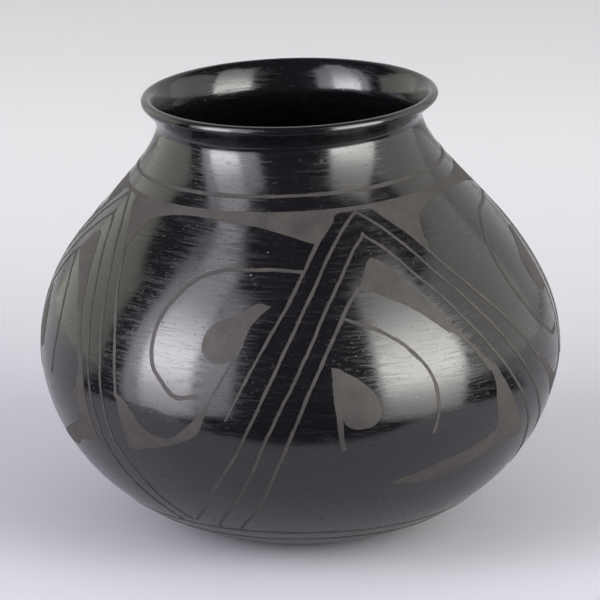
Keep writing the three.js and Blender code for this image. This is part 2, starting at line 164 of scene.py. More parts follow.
@dataclass(frozen=True)
class Dots:
    """Scattered round dots, with their usual spacing and largest radius in millimetres.

    Only a share of the places has a dot. A dot fades out over edge, a share of the spacing.
    """

    spacing: float
    radius: float
    share: float
    edge: float = 0.03

    def add(self, tree: Tree, where: Socket) -> Node:
        """Add the dots to a tree.

        Args:
            tree: Material's node tree.
            where: Place on the pot in metres.

        Returns:
            The node that gives one inside a dot and zero outside it.
        """
        cells = add_node(
            tree, "ShaderNodeTexVoronoi", links={"Vector": where},
            values={"Scale": 1 / (self.spacing * MM)},
        )
        chosen = add_node(
            tree, "ShaderNodeSeparateColor", links={"Color": cells.outputs["Color"]},
        )
        reach = add_node(
            tree, "ShaderNodeMapRange", links={"Value": chosen.outputs["Red"]},
            values={
                "From Min": 0.0, "From Max": self.share,
                "To Min": self.radius / self.spacing, "To Max": 0.0,
            },
        )
        inside = add_node(
            tree, "ShaderNodeMath", {"operation": "SUBTRACT"},
            links={0: reach, 1: cells.outputs["Distance"]},
        )
        return add_node(
            tree, "ShaderNodeMapRange", links={"Value": inside},
            values={"From Min": 0.0, "From Max": self.edge},
        )


@dataclass(frozen=True)
class BurnishedClay:
    """Fired black clay, polished with a stone while leather hard: a carbon-black mirror.

    The stone runs round the pot, so its marks are long low streaks. They break a reflection
    into fine level lines, and pinholes in the clay and dry specks stay dull inside it.
    """

    name: str = "burnished_black_clay"
    colour: str = "#09080a"
    worn_colour: str = "#100f12"
    speck_colour: str = "#8d8a86"
    ior: float = 1.56
    roughness: float = 0.11
    streak_roughness: float = 0.17
    fleck_roughness: float = 0.34
    # One pass of the stone leaves lines about 0.2 mm high; they are drawn 0.8 mm high to show.
    streaks: Mottle = Mottle(11.0, 0.8, 4.0)
    # The stone presses flats as high as its own width, 5 to 10 mm.
    facets: Mottle = Mottle(70.0, 7.0, 1.0)
    # Flecks are short gaps that the stone missed.
    flecks: Mottle = Mottle(2.6, 1.3, 2.0)
    blotches: Mottle = Mottle(14.0, 14.0, 5.0, 0.65)
    # Real pinholes and specks are 0.1 to 0.3 mm across; they are drawn about 0.7 mm to show.
    pits: Dots = Dots(3.2, 0.33, 0.45)
    specks: Dots = Dots(7.0, 0.38, 0.35)
    streak_span: tuple[float, float] = (0.42, 0.64)
    fleck_span: tuple[float, float] = (0.6, 0.68)
    streak_depth: float = 0.014
    facet_depth: float = 0.03
    pit_depth: float = 0.05
    pit_strength: float = 0.6

    def colour_node(self, tree: Tree, where: Socket) -> Node:
        """Add the clay's colour: black, rubbed paler in blotches, with pale dry specks.

        Args:
            tree: Material's node tree.
            where: Place on the pot in metres.

        Returns:
            The node that gives the colour.
        """
        worn = add_node(
            tree, "ShaderNodeMix", {"data_type": "RGBA"},
            links={"Factor": self.blotches.add(tree, where)},
            values={"A": linear(self.colour), "B": linear(self.worn_colour)},
        )
        return add_node(
            tree, "ShaderNodeMix", {"data_type": "RGBA"},
            links={"Factor": self.specks.add(tree, where), "A": worn},
            values={"B": linear(self.speck_colour)},
        )

    def build(self) -> bpy.types.Material:
        """Build the material.

        Returns:
            The new material.
        """
        material = new_material(self.name)
        tree = material.node_tree
        where = add_node(tree, "ShaderNodeTexCoord").outputs["Object"]
        streaks = self.streaks.add(tree, where)
        pits = self.pits.add(tree, where)
        rough = add_node(
            tree, "ShaderNodeMapRange", links={"Value": streaks},
            values={
                "From Min": self.streak_span[0], "From Max": self.streak_span[1],
                "To Min": self.roughness, "To Max": self.roughness + self.streak_roughness,
            },
        )
        missed = add_node(
            tree, "ShaderNodeMapRange", links={"Value": self.flecks.add(tree, where)},
            values={
                "From Min": self.fleck_span[0], "From Max": self.fleck_span[1],
                "To Min": 0.0, "To Max": self.fleck_roughness,
            },
        )
        for duller in (missed, pits):
            rough = add_node(
                tree, "ShaderNodeMath", {"operation": "MAXIMUM"}, links={0: rough, 1: duller},
            )
        flats = add_node(
            tree, "ShaderNodeBump", links={"Height": self.facets.add(tree, where)},
            values={"Strength": 1.0, "Distance": self.facet_depth * MM},
        )
        lined = add_node(
            tree, "ShaderNodeBump", links={"Height": streaks, "Normal": flats},
            values={"Strength": 1.0, "Distance": self.streak_depth * MM},
        )
        pitted = add_node(
            tree, "ShaderNodeBump", {"invert": True}, links={"Height": pits, "Normal": lined},
            values={"Strength": self.pit_strength, "Distance": self.pit_depth * MM},
        )
        surface = add_node(
            tree, "ShaderNodeBsdfPrincipled", values={"IOR": self.ior},
            links={
                "Base Color": self.colour_node(tree, where), "Roughness": rough,
                "Normal": pitted,
            },
        )
        add_node(tree, "ShaderNodeOutputMaterial", links={"Surface": surface})
        return material


@dataclass(frozen=True)
class MatteSlip:
    """Thin clay slip brushed over the polish: it fires to a dull warm grey with brush marks.

    It lies thicker and thinner in clouds, and the clay's own grain makes it rough.
    """

    name: str = "matte_black_slip"
    colour: str = "#322d2b"
    thin_colour: str = "#22201f"
    ior: float = 1.45
    roughness: float = 0.62
    smoother: float = 0.08
    rougher: float = 0.12
    # Slip's grain is finer than 0.1 mm; it is drawn 1.2 mm wide to show.
    grain: Mottle = Mottle(1.2, 1.2, 3.0, 0.7)
    clouds: Mottle = Mottle(9.0, 9.0, 6.0, 0.62)
    cover_span: tuple[float, float] = (0.32, 0.62)
    grain_span: tuple[float, float] = (0.3, 0.7)
    grain_depth: float = 0.02
    grain_strength: float = 0.7

    def build(self) -> bpy.types.Material:
        """Build the material.

        Returns:
            The new material.
        """
        material = new_material(self.name)
        tree = material.node_tree
        where = add_node(tree, "ShaderNodeTexCoord").outputs["Object"]
        grain = self.grain.add(tree, where)
        cover = add_node(
            tree, "ShaderNodeMapRange", links={"Value": self.clouds.add(tree, where)},
            values={"From Min": self.cover_span[0], "From Max": self.cover_span[1]},
        )
        coloured = add_node(
            tree, "ShaderNodeMix", {"data_type": "RGBA"}, links={"Factor": cover},
            values={"A": linear(self.thin_colour), "B": linear(self.colour)},
        )
        rough = add_node(
            tree, "ShaderNodeMapRange", links={"Value": grain},
            values={
                "From Min": self.grain_span[0], "From Max": self.grain_span[1],
                "To Min": self.roughness - self.smoother, "To Max": self.roughness + self.rougher,
            },
        )
        bump = add_node(
            tree, "ShaderNodeBump", links={"Height": grain},
            values={"Strength": self.grain_strength, "Distance": self.grain_depth * MM},
        )
        surface = add_node(
            tree, "ShaderNodeBsdfPrincipled", values={"IOR": self.ior},
            links={"Base Color": coloured, "Roughness": rough, "Normal": bump},
        )
        add_node(tree, "ShaderNodeOutputMaterial", links={"Surface": surface})
        return material


# ------------------------------------------------------------------------------ curves and meshes
def smooth(value: np.ndarray) -> np.ndarray:
    """Return a smooth step from 0 to 1."""
    t = np.clip(value, 0.0, 1.0)
    return t * t * (3 - 2 * t)


def bezier(corners: list[tuple[float, float]], count: int) -> np.ndarray:
    """Return points along a cubic Bezier curve.

    Args:
        corners: The curve's four control points.
        count: Number of points.

    Returns:
        Array of points, one row each.
    """
    a, b, c, d = np.array(corners, float)
    t = np.linspace(0, 1, count)[:, None]
    s = 1 - t
    return s ** 3 * a + 3 * s * s * t * b + 3 * s * t * t * c + t ** 3 * d


def hermite(
    a: np.ndarray, start: np.ndarray, b: np.ndarray, end: np.ndarray, t: np.ndarray,
) -> np.ndarray:
    """Read a cubic from a to b that leaves by one slope and arrives by another.

    Args:
        a: Value where t is 0.
        start: Slope where t is 0.
        b: Value where t is 1.
        end: Slope where t is 1.
        t: Places to read.

    Returns:
        The cubic's values.
    """
    return (
        (2 * t ** 3 - 3 * t * t + 1) * a + (t ** 3 - 2 * t * t + t) * start
        + (3 * t * t - 2 * t ** 3) * b + (t ** 3 - t * t) * end
    )


def curve_value(pairs: Pairs, place: np.ndarray) -> np.ndarray:
    """Read a smooth curve through (place, value) pairs.

    Args:
        pairs: Places that rise or fall steadily, with the value at each.
        place: Places to read.

    Returns:
        The curve's values.
    """
    x, y = np.array(sorted(pairs), float).T
    at = np.clip(place, x[0], x[-1])
    i = np.clip(np.searchsorted(x, at, "right") - 1, 0, len(x) - 2)
    low = np.maximum(i - 1, 0)
    high = np.minimum(i + 2, len(x) - 1)
    gap = x[i + 1] - x[i]
    start = (y[i + 1] - y[low]) / (x[i + 1] - x[low]) * gap
    end = (y[high] - y[i]) / (x[high] - x[i]) * gap
    return hermite(y[i], start, y[i + 1], end, (at - x[i]) / gap)


def even_steps(low: float, high: float, longest: float) -> np.ndarray:
    """Return values from low to high in even steps no longer than asked."""
    return np.linspace(low, high, max(1, math.ceil(abs(high - low) / longest)) + 1)


def spline_span(points: np.ndarray, sharp_start: bool, sharp_end: bool, count: int) -> np.ndarray:
    """Return points of a Catmull-Rom span between the middle two of four points.

    Args:
        points: Four points: the span's two ends and their neighbours.
        sharp_start: Whether the curve turns a corner at the span's start.
        sharp_end: Whether the curve turns a corner at the span's end.
        count: Number of points, the span's end left out.

    Returns:
        Array of points.
    """
    before, a, b, after = points
    start = (b - a) if sharp_start else (b - before) / 2
    end = (b - a) if sharp_end else (after - a) / 2
    return hermite(a, start, b, end, (np.arange(count) / count)[:, None])


def put_in_scene(name: str, data: bpy.types.ID) -> bpy.types.Object:
    """Make an object and put it in the scene.

    Args:
        name: Object's name.
        data: Its mesh, light or camera.

    Returns:
        The new object.
    """
    thing = bpy.data.objects.new(name, data)
    bpy.context.scene.collection.objects.link(thing)
    return thing


def mesh_piece(
    name: str, verts: np.ndarray, faces: list[tuple[int, ...]], normals: np.ndarray,
    material: bpy.types.Material,
) -> bpy.types.Object:
    """Make an object from a mesh with its own corner normals.

    Args:
        name: Object's name.
        verts: Vertex places in metres.
        faces: Vertex numbers of each face.
        normals: One normal for each corner of each face, in order.
        material: The piece's finish.

    Returns:
        The new object.
    """
    mesh = bpy.data.meshes.new(name)
    mesh.from_pydata(verts.tolist(), [], faces)
    mesh.materials.append(material)
    mesh.shade_smooth()
    mesh.normals_split_custom_set(normals.tolist())
    mesh.update()
    return put_in_scene(name, mesh)


def settle_piece(piece: bpy.types.Object, node: str) -> None:
    """Make a piece stand for its CAD node.

    Args:
        piece: The finished piece.
        node: CAD node that it replaces.
    """
    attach(piece, BODY)
    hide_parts(node)
    low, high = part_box(node)
    corners = np.array([v.co for v in piece.data.vertices])
    apart = max(np.abs(corners.min(0) - low).max(), np.abs(corners.max(0) - high).max())
    LOG.info("%s: %d faces, box within %.1f mm", piece.name, len(piece.data.polygons), apart / MM)


# ------------------------------------------------------------------------------ the wall
@dataclass
class PotWall:
    """The pot's wall as a section that is turned, rippled by hand and settled into its lean."""

    base_radius: float = 38.0
    base_thickness: float = 6.0
    belly_radius: float = 115.0
    belly_height: float = 81.5
    belly_wall: float = 5.0
    waist_radius: float = 58.2
    waist_height: float = 183.0
    neck_wall: float = 3.2
    lip_reach: float = 4.8
    lip_rise: float = 10.6
    lip_bead_radius: float = 2.2
    foot_run_share: float = 0.857
    foot_lift_share: float = 0.205
    belly_drop_share: float = 0.197
    shoulder_rise_share: float = 0.483
    neck_run_share: float = 0.109
    neck_drop_share: float = 0.263
    lean_shift: float = 4.7
    waist_tilt: float = 0.047
    lip_tilt: float = 0.03
    lean_start: float = 92.0
    ripple_fade: float = 30.0
    # size, turns round the pot, rise of one wave in millimetres, and phase of each ripple
    ripples: tuple[tuple[float, int, float, float], ...] = (
        (0.10, 2, 160.0, 0.4), (0.09, 3, -95.0, 1.9), (0.06, 5, 62.0, 4.1),
        (0.035, 9, -44.0, 2.6), (0.025, 14, 37.0, 5.2),
    )
    curve_points: int = 3000
    inner_rounds: int = 12
    heights: np.ndarray = field(init=False)
    radii: np.ndarray = field(init=False)
    normals: np.ndarray = field(init=False)

    def __post_init__(self) -> None:
        """Tabulate the outer wall finely from its two curves."""
        rise = self.waist_height - self.belly_height
        lower = bezier([
            (self.base_radius, 0),
            (
                self.base_radius + self.foot_run_share * (self.belly_radius - self.base_radius),
                self.foot_lift_share * self.belly_height,
            ),
            (self.belly_radius, (1 - self.belly_drop_share) * self.belly_height),
            (self.belly_radius, self.belly_height),
        ], self.curve_points)
        upper = bezier([
            (self.belly_radius, self.belly_height),
            (self.belly_radius, self.belly_height + self.shoulder_rise_share * rise),
            (
                self.waist_radius + self.neck_run_share * (self.belly_radius - self.waist_radius),
                self.waist_height - self.neck_drop_share * rise,
            ),
            (self.waist_radius, self.waist_height),
        ], self.curve_points)
        wall = np.vstack([lower[:-1], upper])
        tangent = np.gradient(wall, axis=0)
        tangent /= np.linalg.norm(tangent, axis=1)[:, None]
        self.radii, self.heights = wall.T
        self.normals = np.stack((tangent[:, 1], -tangent[:, 0]), axis=1)

    def radius(self, height: np.ndarray) -> np.ndarray:
        """Return the outer radius at a height."""
        return np.interp(height, self.heights, self.radii)

    def normal(self, height: np.ndarray) -> np.ndarray:
        """Return the section's outward normal at a height."""
        parts = [np.interp(height, self.heights, self.normals[:, i]) for i in (0, 1)]
        return np.stack(parts, axis=-1)

    def outer(self, height: np.ndarray, offset: float = 0.0) -> np.ndarray:
        """Return section points of the outer wall, moved out along its normal.

        Args:
            height: Heights up the wall.
            offset: Distance out from the clay.

        Returns:
            Points of (radius, height).
        """
        height = np.asarray(height, float)
        point = np.stack((self.radius(height), height), axis=-1)
        return point + offset * self.normal(height)

    def inner(self, height: np.ndarray) -> np.ndarray:
        """Return section points of the inner wall, level with the heights.

        Args:
            height: Heights up the wall.

        Returns:
            Points of (radius, height).
        """
        height = np.asarray(height, float)
        at = height.copy()
        for _ in range(self.inner_rounds):
            found = self.inside_of(at)
            at = np.clip(at + height - found[..., 1], 0, self.waist_height)
        return self.inside_of(at)

    def inside_of(self, height: np.ndarray) -> np.ndarray:
        """Return the inner wall's points straight behind the outer wall's.

        Args:
            height: Heights of the outer wall's points.

        Returns:
            Points of (radius, height).
        """
        share = smooth((height - self.belly_height) / (self.waist_height - self.belly_height))
        thick = self.belly_wall + (self.neck_wall - self.belly_wall) * share
        point = np.stack((self.radius(height), height), axis=-1)
        return point - thick[..., None] * self.normal(height)

    def place(self, radius: np.ndarray, height: np.ndarray, angle: np.ndarray) -> np.ndarray:
        """Put points of the upright pot where they are on the handmade one.

        Args:
            radius: Distances from the axis in millimetres.
            height: Heights in millimetres.
            angle: Angles from the front, in radians.

        Returns:
            Points in metres in the frame.
        """
        hand = sum(
            size * np.sin(turns * angle + 2 * math.pi * height / rise + phase)
            for size, turns, rise, phase in self.ripples
        )
        fade = smooth(height / self.ripple_fade) * smooth(radius / self.ripple_fade)
        reach = radius + hand * fade
        x = reach * np.sin(angle)
        y = -reach * np.cos(angle)
        share = smooth((height - self.lean_start) / (self.waist_height - self.lean_start))
        lip = np.clip((height - self.waist_height) / self.lip_rise, 0, 1)
        tilt = share * (self.waist_tilt + (self.lip_tilt - self.waist_tilt) * lip)
        return np.stack((x - self.lean_shift * share, y, height + x * tilt), axis=-1) * MM

    def facing(
        self, section: np.ndarray, tangent: np.ndarray, angle: np.ndarray,
    ) -> np.ndarray:
        """Return the surface's normals where a section's points are turned by an angle.

        Args:
            section: Points of (radius, height).
            tangent: The section's direction at each point.
            angle: Angle of each point, in radians.

        Returns:
            Unit normals.
        """
        step = 0.05
        turn = 0.001
        ahead = section + step * tangent
        behind = section - step * tangent
        along = (
            self.place(ahead[..., 0], ahead[..., 1], angle)
            - self.place(behind[..., 0], behind[..., 1], angle)
        )
        around = (
            self.place(section[..., 0], section[..., 1], angle + turn)
            - self.place(section[..., 0], section[..., 1], angle - turn)
        )
        normal = np.cross(around, along)
        return normal / np.maximum(np.linalg.norm(normal, axis=-1, keepdims=True), 1e-12)


# ------------------------------------------------------------------------------ the clay
@dataclass
class ClayBody:
    """The clay as it is laid up: a pressed base, four coils and a rolled lip."""

    wall: PotWall
    turns: int = 288
    outer_step: float = 1.6
    inner_step: float = 4.0
    scarf_rise: float = 4.0
    joint_shares: tuple[float, ...] = (0.09, 0.3, 0.53, 0.75, 0.95)
    bead_start: float = -45.0
    bead_end: float = 125.0
    flare_pull_share: float = 0.38
    flare_end_pull: float = 0.7
    trumpet_end_pull: tuple[float, float] = (0.8, 0.55)
    throat_pull: float = 1.2
    flare_points: int = 16
    bead_points: int = 22
    trumpet_points: int = 20
    under_rings: int = 6
    floor_rings: int = 8

    def joints(self) -> list[float]:
        """Return the heights where one clay piece is joined to the next."""
        return [share * self.wall.waist_height for share in self.joint_shares]

    def coil_runs(self, low: float, high: float) -> list[np.ndarray]:
        """Return a coil's section as smooth runs.

        Args:
            low: Height of the joint below it.
            high: Height of the joint above it.

        Returns:
            Outside, upper scarf, inside and lower scarf.
        """
        outer = self.wall.outer(even_steps(low, high, self.outer_step))
        inner = self.wall.inner(
            even_steps(high + self.scarf_rise, low + self.scarf_rise, self.inner_step),
        )
        return [outer, np.stack((outer[-1], inner[0])), inner, np.stack((inner[-1], outer[0]))]

    def base_runs(self, high: float) -> list[np.ndarray]:
        """Return the pressed base's section as smooth runs.

        Args:
            high: Height of the joint above it.

        Returns:
            Underside, outside, scarf, inside and floor.
        """
        wall = self.wall
        outer = wall.outer(even_steps(0.0, high, self.outer_step))
        inner = wall.inner(
            even_steps(high + self.scarf_rise, wall.base_thickness, self.inner_step / 2),
        )
        middle = np.array([0.0, wall.base_thickness])
        floor = np.linspace(inner[-1], middle, self.floor_rings)
        under = np.linspace(np.zeros(2), outer[0], self.under_rings)
        return [under, outer, np.stack((outer[-1], inner[0])), inner, floor]

    def lip_runs(self, low: float) -> list[np.ndarray]:
        """Return the rolled lip's section as smooth runs.

        Args:
            low: Height of the joint below it.

        Returns:
            The outside, taken over the lip and down the throat, and the scarf.
        """
        wall = self.wall
        bead = np.array([wall.waist_radius + wall.lip_reach, wall.waist_height + wall.lip_rise])
        angles = np.radians(np.linspace(self.bead_start, self.bead_end, self.bead_points))
        arc = bead + wall.lip_bead_radius * np.stack((np.cos(angles), np.sin(angles)), axis=1)
        pull = self.flare_pull_share * wall.lip_rise
        waist = np.array([wall.waist_radius, wall.waist_height])
        throat = wall.inner(np.array([wall.waist_height - wall.neck_wall / 2]))[0]
        flare = bezier(
            [waist, waist + (0, pull), arc[0] - self.flare_end_pull * pull, arc[0]],
            self.flare_points,
        )
        trumpet_pull = pull * np.array(self.trumpet_end_pull)
        trumpet = bezier(
            [arc[-1], arc[-1] - trumpet_pull, throat + (0, self.throat_pull * pull), throat],
            self.trumpet_points,
        )
        outer = wall.outer(even_steps(low, wall.waist_height, self.outer_step))
        inner = wall.inner(even_steps(throat[1], low + self.scarf_rise, self.inner_step))
        whole = np.vstack([outer, flare[1:], arc[1:], trumpet[1:], inner[1:]])
        return [whole, np.stack((whole[-1], whole[0]))]

    def run_tangents(self, run: np.ndarray) -> np.ndarray:
        """Return a run's directions, exact where it starts or ends on the outer wall.

        Args:
            run: Points of (radius, height).

        Returns:
            One unit direction for each point.
        """
        tangent = np.gradient(run, axis=0)
        for end in (0, -1):
            radius, height = run[end]
            on_wall = abs(self.wall.radius(height) - radius) < 1e-3 and height > 0
            if on_wall and len(run) > 2:
                across, up = self.wall.normal(np.array(height))
                tangent[end] = (-up, across)
        return tangent / np.maximum(np.linalg.norm(tangent, axis=1)[:, None], 1e-12)

    def turned(
        self, name: str, runs: list[np.ndarray], material: bpy.types.Material,
    ) -> bpy.types.Object:
        """Turn a closed section into a solid piece.

        Args:
            name: Piece's name.
            runs: The section's runs, each starting where the last one ends.
            material: The piece's finish.

        Returns:
            The new object.
        """
        angle = np.linspace(0, 2 * math.pi, self.turns, endpoint=False)
        section = np.vstack([run[:-1] for run in runs])
        if not np.allclose(runs[-1][-1], runs[0][0]):
            section = np.vstack([section, runs[-1][-1]])
        starts = np.vstack([self.run_tangents(run)[:-1] for run in runs])
        ends = np.vstack([self.run_tangents(run)[1:] for run in runs])
        rows = len(section)
        grid = self.wall.place(section[:, :1], section[:, 1:], angle[None, :])
        on_axis = section[:, 0] < 1e-9
        first = np.concatenate([[0], np.cumsum(np.where(on_axis, 1, self.turns))])
        verts = np.vstack([grid[i, :1] if on_axis[i] else grid[i] for i in range(rows)])
        faces: list[tuple[int, ...]] = []
        normals: list[np.ndarray] = []
        for i in range(len(starts)):
            k = (i + 1) % rows
            low = self.wall.facing(section[i], starts[i], angle)
            high = self.wall.facing(section[k], ends[i], angle)
            if on_axis[i]:
                low = high
            if on_axis[k]:
                high = low
            for j in range(self.turns):
                n = (j + 1) % self.turns
                corners = [
                    (first[i] + (0 if on_axis[i] else j), low[j]),
                    (first[i] + (0 if on_axis[i] else n), low[n]),
                    (first[k] + (0 if on_axis[k] else n), high[n]),
                    (first[k] + (0 if on_axis[k] else j), high[j]),
                ]
                if on_axis[i]:
                    corners.pop(1)
                elif on_axis[k]:
                    corners.pop()
                faces.append(tuple(int(corner) for corner, _ in corners))
                normals.extend(normal for _, normal in corners)
        return mesh_piece(name, verts, faces, np.array(normals), material)

    def build(self, material: bpy.types.Material) -> None:
        """Build every clay piece and dress it.

        Args:
            material: The burnished finish.
        """
        joints = self.joints()
        coils = ("belly_coil_lower", "belly_coil_upper", "shoulder_coil", "neck_coil")
        sections = {"base_tortilla": self.base_runs(joints[0])}
        for node, low, high in zip(coils, joints, joints[1:]):
            sections[node] = self.coil_runs(low, high)
        sections["rolled_lip"] = self.lip_runs(joints[-1])
        for node, runs in sections.items():
            piece = self.turned(f"burnished_{node}", runs, material)
            settle_piece(piece, node)


# ------------------------------------------------------------------------------ the slip
class Side(Enum):
    """The two sides of a peak, seen from outside the pot."""

    LEFT = -1
    RIGHT = 1


class Proud(Enum):
    """How far each kind of slip stands off the clay, in millimetres."""

    FILL = 0.10
    CURL = 0.12
    LINE = 0.14


@dataclass(frozen=True)
class Repeat:
    """One repeat of the painted design, spaced by eye round the pot."""

    tag: str
    peak: float
    spread_left: float
    spread_right: float
    panel_lift: float
    chevron_lift: float
    spread_top: float = 135.0
    spread_run: float = 75.0

    def arm(self, side: Side, offset: np.ndarray, height: np.ndarray) -> np.ndarray:
        """Return degrees round the pot of points so many degrees to a side of the peak.

        Args:
            side: Side of the peak.
            offset: Degrees from the peak where the design isn't spread.
            height: Heights up the wall.

        Returns:
            Degrees round the pot.
        """
        spread = self.spread_left if side is Side.LEFT else self.spread_right
        share = np.clip((self.spread_top - height) / self.spread_run, 0, 1)
        return self.peak + side.value * offset * (1 + spread * share)


@dataclass
class Brush:
    """A brush that lays slip on the wall as thin closed patches with hand-drawn edges."""

    wall: PotWall
    material: bpy.types.Material
    sunk: float = 0.12
    edge_step: float = 1.1
    fill_step: float = 3.0
    waver: float = 0.13
    level_scale: float = 1.6
    corner_degrees: float = 50.0
    edge_waves: tuple[float, ...] = (19.0, 8.3, 3.9)
    wave_fall: float = 0.4
    steadiness: float = 0.6
    flattest_slope: float = 0.25
    round_share: float = 0.8
    edge_clearance: float = 0.8
    ring_corners: int = 400
    ring_waves: tuple[int, ...] = (2, 3, 7, 16, 37)
    ring_drift: tuple[float, float] = (0.1, 0.25)
    ring_swell: float = 0.1

    def wavered(self, outline: np.ndarray, seed: int) -> np.ndarray:
        """Give a closed outline the small waver of a hand.

        Args:
            outline: Points of (degrees, height).
            seed: Number that picks the waver.

        Returns:
            The moved points.
        """
        random = np.random.default_rng(seed)
        flat = outline * (self.level_scale, 1.0)
        step = np.roll(flat, -1, axis=0) - np.roll(flat, 1, axis=0)
        length = np.cumsum(np.linalg.norm(step, axis=1)) / 2
        side = np.stack((-step[:, 1], step[:, 0]), axis=1)
        side /= np.maximum(np.linalg.norm(side, axis=1)[:, None], 1e-9)
        shift = np.zeros(len(outline))
        for wave in self.edge_waves:
            phase = random.uniform(0, 2 * math.pi)
            size = self.waver * (wave / self.edge_waves[0]) ** self.wave_fall
            shift += np.sin(2 * math.pi * length / wave + phase) * size
        moved = flat + side * shift[:, None] * self.steadiness
        return moved / (self.level_scale, 1.0)

    def flowing(self, points: np.ndarray) -> np.ndarray:
        """Return a closed outline that flows through its points and keeps sharp corners.

        Args:
            points: Points of (degrees, height).

        Returns:
            Finely spaced points.
        """
        flat = points * (self.level_scale, 1.0)
        count = len(flat)
        before = flat - np.roll(flat, 1, axis=0)
        after = np.roll(flat, -1, axis=0) - flat
        turn = np.arctan2(
            before[:, 0] * after[:, 1] - before[:, 1] * after[:, 0],
            (before * after).sum(axis=1),
        )
        sharp = np.abs(np.degrees(turn)) > self.corner_degrees
        spans = []
        for i in range(count):
            four = flat[[i - 1, i, (i + 1) % count, (i + 2) % count]]
            steps = max(1, math.ceil(np.linalg.norm(four[2] - four[1]) / self.edge_step))
            spans.append(spline_span(four, sharp[i], sharp[(i + 1) % count], steps))
        return np.vstack(spans) / (self.level_scale, 1.0)

    def stroke(self, path: np.ndarray, width: float, start: float, end: float) -> np.ndarray:
        """Return the outline of a stroke along a path, with round ends.

        Args:
            path: Points of (degrees, height) along the stroke's middle.
            width: The brush's width in millimetres.
            start: Share of the width at the start.
            end: Share of the width at the end.

        Returns:
            Closed outline.
        """
        radius = self.wall.radius(path[:, 1])
        slope = np.maximum(self.wall.normal(path[:, 1])[:, 0], self.flattest_slope)
        scale = np.stack((np.radians(radius), 1 / slope), axis=1)
        step = np.gradient(path, axis=0) * scale
        step /= np.maximum(np.linalg.norm(step, axis=1)[:, None], 1e-9)
        half = width / 2 * np.linspace(start, end, len(path))
        side = np.stack((-step[:, 1], step[:, 0]), axis=1) * half[:, None]
        left = path + side / scale
        right = path - side / scale
        tip = path[-1] + step[-1] * half[-1] * self.round_share / scale[-1]
        tail = path[0] - step[0] * half[0] * self.round_share / scale[0]
        return np.vstack([left, tip[None], right[::-1], tail[None]])

    def along(self, points: np.ndarray) -> np.ndarray:
        """Return an open curve through points.

        Args:
            points: Points of (degrees, height).

        Returns:
            Finely spaced points.
        """
        flat = points * (self.level_scale, 1.0)
        padded = np.vstack([2 * flat[0] - flat[1], flat, 2 * flat[-1] - flat[-2]])
        spans = []
        for i in range(len(flat) - 1):
            steps = max(1, math.ceil(np.linalg.norm(flat[i + 1] - flat[i]) / self.edge_step))
            spans.append(spline_span(padded[i:i + 4], False, False, steps))
        return np.vstack([*spans, flat[-1:]]) / (self.level_scale, 1.0)

    def fill_points(self, outline: np.ndarray) -> np.ndarray:
        """Return points inside an outline, on a grid and clear of its edge.

        Args:
            outline: Flat closed outline.

        Returns:
            Flat points.
        """
        low, high = outline.min(0), outline.max(0)
        u, v = np.meshgrid(
            np.arange(low[0] + self.fill_step / 2, high[0], self.fill_step),
            np.arange(low[1] + self.fill_step / 2, high[1], self.fill_step),
        )
        grid = np.stack((u.ravel(), v.ravel()), axis=1)
        if not len(grid):
            return grid
        a = outline[None]
        b = np.roll(outline, -1, axis=0)[None]
        p = grid[:, None]
        crosses = (a[..., 1] > p[..., 1]) != (b[..., 1] > p[..., 1])
        rise = np.where(np.abs(b[..., 1] - a[..., 1]) < 1e-9, 1e-9, b[..., 1] - a[..., 1])
        at = a[..., 0] + (p[..., 1] - a[..., 1]) / rise * (b[..., 0] - a[..., 0])
        inside = (crosses & (p[..., 0] < at)).sum(axis=1) % 2 == 1
        clear = np.linalg.norm(p - a, axis=2).min(axis=1) > self.edge_clearance * self.edge_step
        return grid[inside & clear]

    def rim_of(self, triangles: list[list[int]]) -> list[tuple[int, int]]:
        """Return the triangle sides that lie on the rim of a patch."""
        sides = {(a, b): None for t in triangles for a, b in zip(t, t[1:] + t[:1])}
        return [(a, b) for a, b in sides if (b, a) not in sides]

    def lay(
        self, node: str, outline: np.ndarray, proud: Proud, whole_turn: bool = False,
    ) -> None:
        """Lay a closed patch of slip over an outline.

        Args:
            node: CAD node that the patch stands for.
            outline: Points of (degrees, height).
            proud: How far the slip stands off the clay.
            whole_turn: Whether the outline spans the whole turn and joins itself.
        """
        flat = outline * (self.level_scale, 1.0)
        points = [Vector(point) for point in np.vstack([flat, self.fill_points(flat)])]
        count = len(flat)
        edges = [(i, (i + 1) % count) for i in range(count)]
        found, _, triangles, *_ = delaunay_2d_cdt(points, edges, [], 1, 1e-5)
        flat = np.array([tuple(point) for point in found])
        degrees, height = (flat / (self.level_scale, 1.0)).T
        angle = np.radians(degrees)
        top = self.wall.outer(height, proud.value)
        under = self.wall.outer(height, -self.sunk)
        across, up = self.wall.normal(height).T
        facing = self.wall.facing(top, np.stack((-up, across), axis=1), angle)
        verts = np.vstack([
            self.wall.place(top[:, 0], top[:, 1], angle),
            self.wall.place(under[:, 0], under[:, 1], angle),
        ])
        total = len(flat)
        welded = np.arange(2 * total)
        seams: list[set[int]] = []
        if whole_turn:
            ends = (flat[:, 0].min(), flat[:, 0].max())
            seams = [set(np.flatnonzero(np.abs(flat[:, 0] - end) < 1e-4)) for end in ends]
            kept, dropped = (sorted(seam, key=lambda i: flat[i, 1]) for seam in seams)
            for keep, drop in zip(kept, dropped):
                welded[drop] = keep
                welded[drop + total] = keep + total
        faces: list[tuple[int, ...]] = []
        normals: list[np.ndarray] = []
        for triangle in triangles:
            faces.append(tuple(int(welded[i]) for i in triangle))
            normals.extend(facing[i] for i in triangle)
            faces.append(tuple(int(welded[i + total]) for i in reversed(triangle)))
            normals.extend(-facing[i] for i in reversed(triangle))
        for a, b in self.rim_of(triangles):
            if any(a in seam and b in seam for seam in seams):
                continue
            side = np.cross(verts[b + total] - verts[a], verts[b] - verts[a + total])
            side /= max(np.linalg.norm(side), 1e-15)
